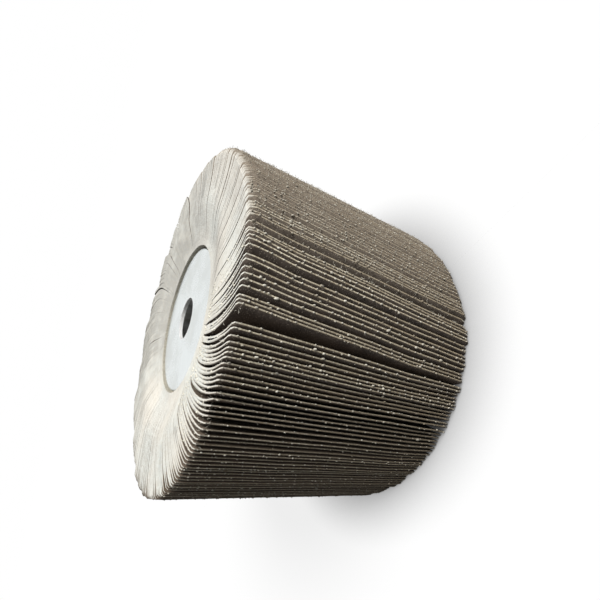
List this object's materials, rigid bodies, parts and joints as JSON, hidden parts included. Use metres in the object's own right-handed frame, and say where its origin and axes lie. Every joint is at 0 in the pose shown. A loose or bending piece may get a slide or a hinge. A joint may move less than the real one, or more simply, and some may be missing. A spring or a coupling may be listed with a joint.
{
  "type": "flap wheel",
  "caption": "Drum flap wheel of curved abrasive cloth flaps set radially round a resin core, clamped at both ends by recessed steel flanges with a plain spindle bore.",
  "frame": {"origin": "on the wheel's axis, in the plane of the flaps' rear ends, on which it stands", "axes": "+Z along the spindle axis towards the front end; the front flange looks along +Z"},
  "size_m": [0.1502, 0.1502, 0.102],
  "materials": {
    "abrasive_cloth": "cotton cloth with brown aluminium oxide grit, cut edges cream",
    "cast_resin": "cast resin, satin",
    "tube_steel": "drawn steel, dull",
    "zinc_steel": "zinc plated pressed steel, satin"
  },
  "bodies": {
    "root": {"abrasive_flaps": "abrasive_cloth", "resin_core": "cast_resin", "centre_tube": "tube_steel", "front_flange": "zinc_steel", "rear_flange": "zinc_steel"}
  },
  "joints": []
}
